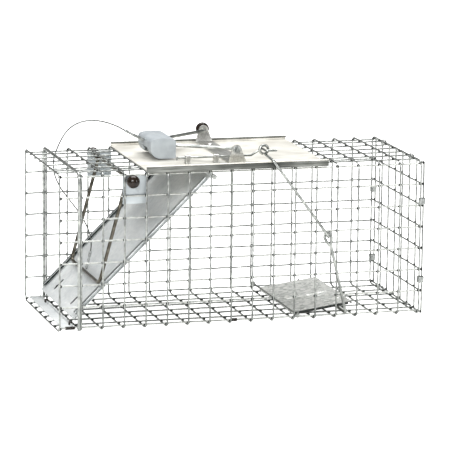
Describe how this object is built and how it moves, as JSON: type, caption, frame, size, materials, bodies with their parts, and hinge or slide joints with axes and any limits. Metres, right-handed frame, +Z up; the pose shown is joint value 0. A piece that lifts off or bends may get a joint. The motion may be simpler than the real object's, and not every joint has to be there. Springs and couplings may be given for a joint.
{
  "type": "live catch trap",
  "caption": "Small wire-mesh live catch trap with a sloping gravity door, a lock bail, a folding lift handle with a set cable, and a floor treadle that trips the door.",
  "frame": {"origin": "centre of the trap's footprint, on the plane that the floor mesh rests on", "axes": "+X from the entrance towards the closed rear end, +Y towards the far side wall, +Z up"},
  "size_m": [0.439, 0.211, 0.23],
  "materials": {
    "mesh_wire": "galvanised welded wire, satin zinc with brighter weld points",
    "formed_wire": "zinc plated drawn wire, smooth satin",
    "clip_steel": "zinc plated strip clips, dull grey",
    "door_sheet": "light grey galvanised sheet, satin",
    "plate_sheet": "galvanised sheet, warm silver with long rolling streaks",
    "bracket_sheet": "zinc plated formed strap, satin",
    "treadle_sheet": "spangled galvanised sheet",
    "bail_steel": "dark grey-brown plated rod, satin",
    "cap_plastic": "dark brown moulded caps, glossy",
    "grip_plastic": "light blue-grey moulded grip, fine satin texture",
    "cable_steel": "stranded steel cable, grey",
    "sleeve_metal": "crimped sleeves, dull grey"
  },
  "bodies": {
    "root": {"floor_panel": "mesh_wire", "top_panel": "mesh_wire", "near_side_panel": "mesh_wire", "far_side_panel": "mesh_wire", "rear_panel": "mesh_wire", "corner_bends": "mesh_wire", "joining_clips": "clip_steel", "entrance_frame": "formed_wire", "door_sill": "door_sheet", "near_pivot_plate": "door_sheet", "far_pivot_plate": "door_sheet", "top_plate": "plate_sheet", "handle_bracket": "bracket_sheet", "bracket_rivets": "bracket_sheet", "trip_rod_guides": "bracket_sheet", "door_hinge_rod": "formed_wire", "treadle_hinge_rod": "formed_wire", "set_cable_outer": "cable_steel", "set_cable_inner": "cable_steel"},
    "door": {"door_panel": "door_sheet", "door_edge_channels": "door_sheet"},
    "bail": {"bail_pivot_rod": "bail_steel", "lock_bail": "bail_steel", "near_bail_cap": "cap_plastic", "far_bail_cap": "cap_plastic", "bail_cable_sleeve": "sleeve_metal"},
    "handle": {"handle_wire": "formed_wire", "grip": "grip_plastic", "handle_pivot_cap": "cap_plastic", "handle_push_nut": "clip_steel", "grip_cable_sleeve": "sleeve_metal"},
    "treadle": {"treadle_plate": "treadle_sheet"},
    "arm": {"trigger_arm": "formed_wire"},
    "link": {"connecting_rod": "formed_wire"},
    "trip": {"trip_rod": "formed_wire"}
  },
  "joints": [
    {"name": "door_hinge", "type": "hinge", "parent": "root", "child": "door", "pos_m": [-0.0375, 0, 0.1745], "axis": [0, 1, 0], "range_deg": [0, 39]},
    {"name": "bail_hinge", "type": "hinge", "parent": "root", "child": "bail", "pos_m": [-0.1345, 0, 0.1732], "axis": [0, 1, 0], "range_deg": [0, 67.8], "deforming": ["set_cable_inner"]},
    {"name": "handle_hinge", "type": "hinge", "parent": "root", "child": "handle", "pos_m": [-0.0045, 0, 0.201], "axis": [0, 1, 0], "range_deg": [0, 140], "deforming": ["set_cable_outer"]},
    {"name": "treadle_hinge", "type": "hinge", "parent": "root", "child": "treadle", "pos_m": [0.0645, 0, 0.00676], "axis": [0, 1, 0], "range_deg": [0, 4.5], "stiffness_Nm_per_rad": 0.15, "springref_deg": -28.65},
    {"name": "arm_hinge", "type": "hinge", "parent": "root", "child": "arm", "pos_m": [0.1225, 0, 0.0074], "axis": [0, -1, 0], "range_deg": [0, 13.6]},
    {"name": "link_hinge", "type": "hinge", "parent": "arm", "child": "link", "pos_m": [0.0995, -0.0946, 0.099], "axis": [0, 1, 0], "range_deg": [0, 20.7]},
    {"name": "trip_slide", "type": "slide", "parent": "root", "child": "trip", "axis": [-1, 0, 0], "range_m": [0, 0.0081]}
  ],
  "couplings": [
    {"joint": "bail_hinge", "follows": "door_hinge", "ratio": 1.738},
    {"joint": "arm_hinge", "follows": "treadle_hinge", "ratio": 3},
    {"joint": "link_hinge", "follows": "treadle_hinge", "ratio": 4.557},
    {"joint": "trip_slide", "follows": "treadle_hinge", "m_per_rad": 0.10135}
  ]
}
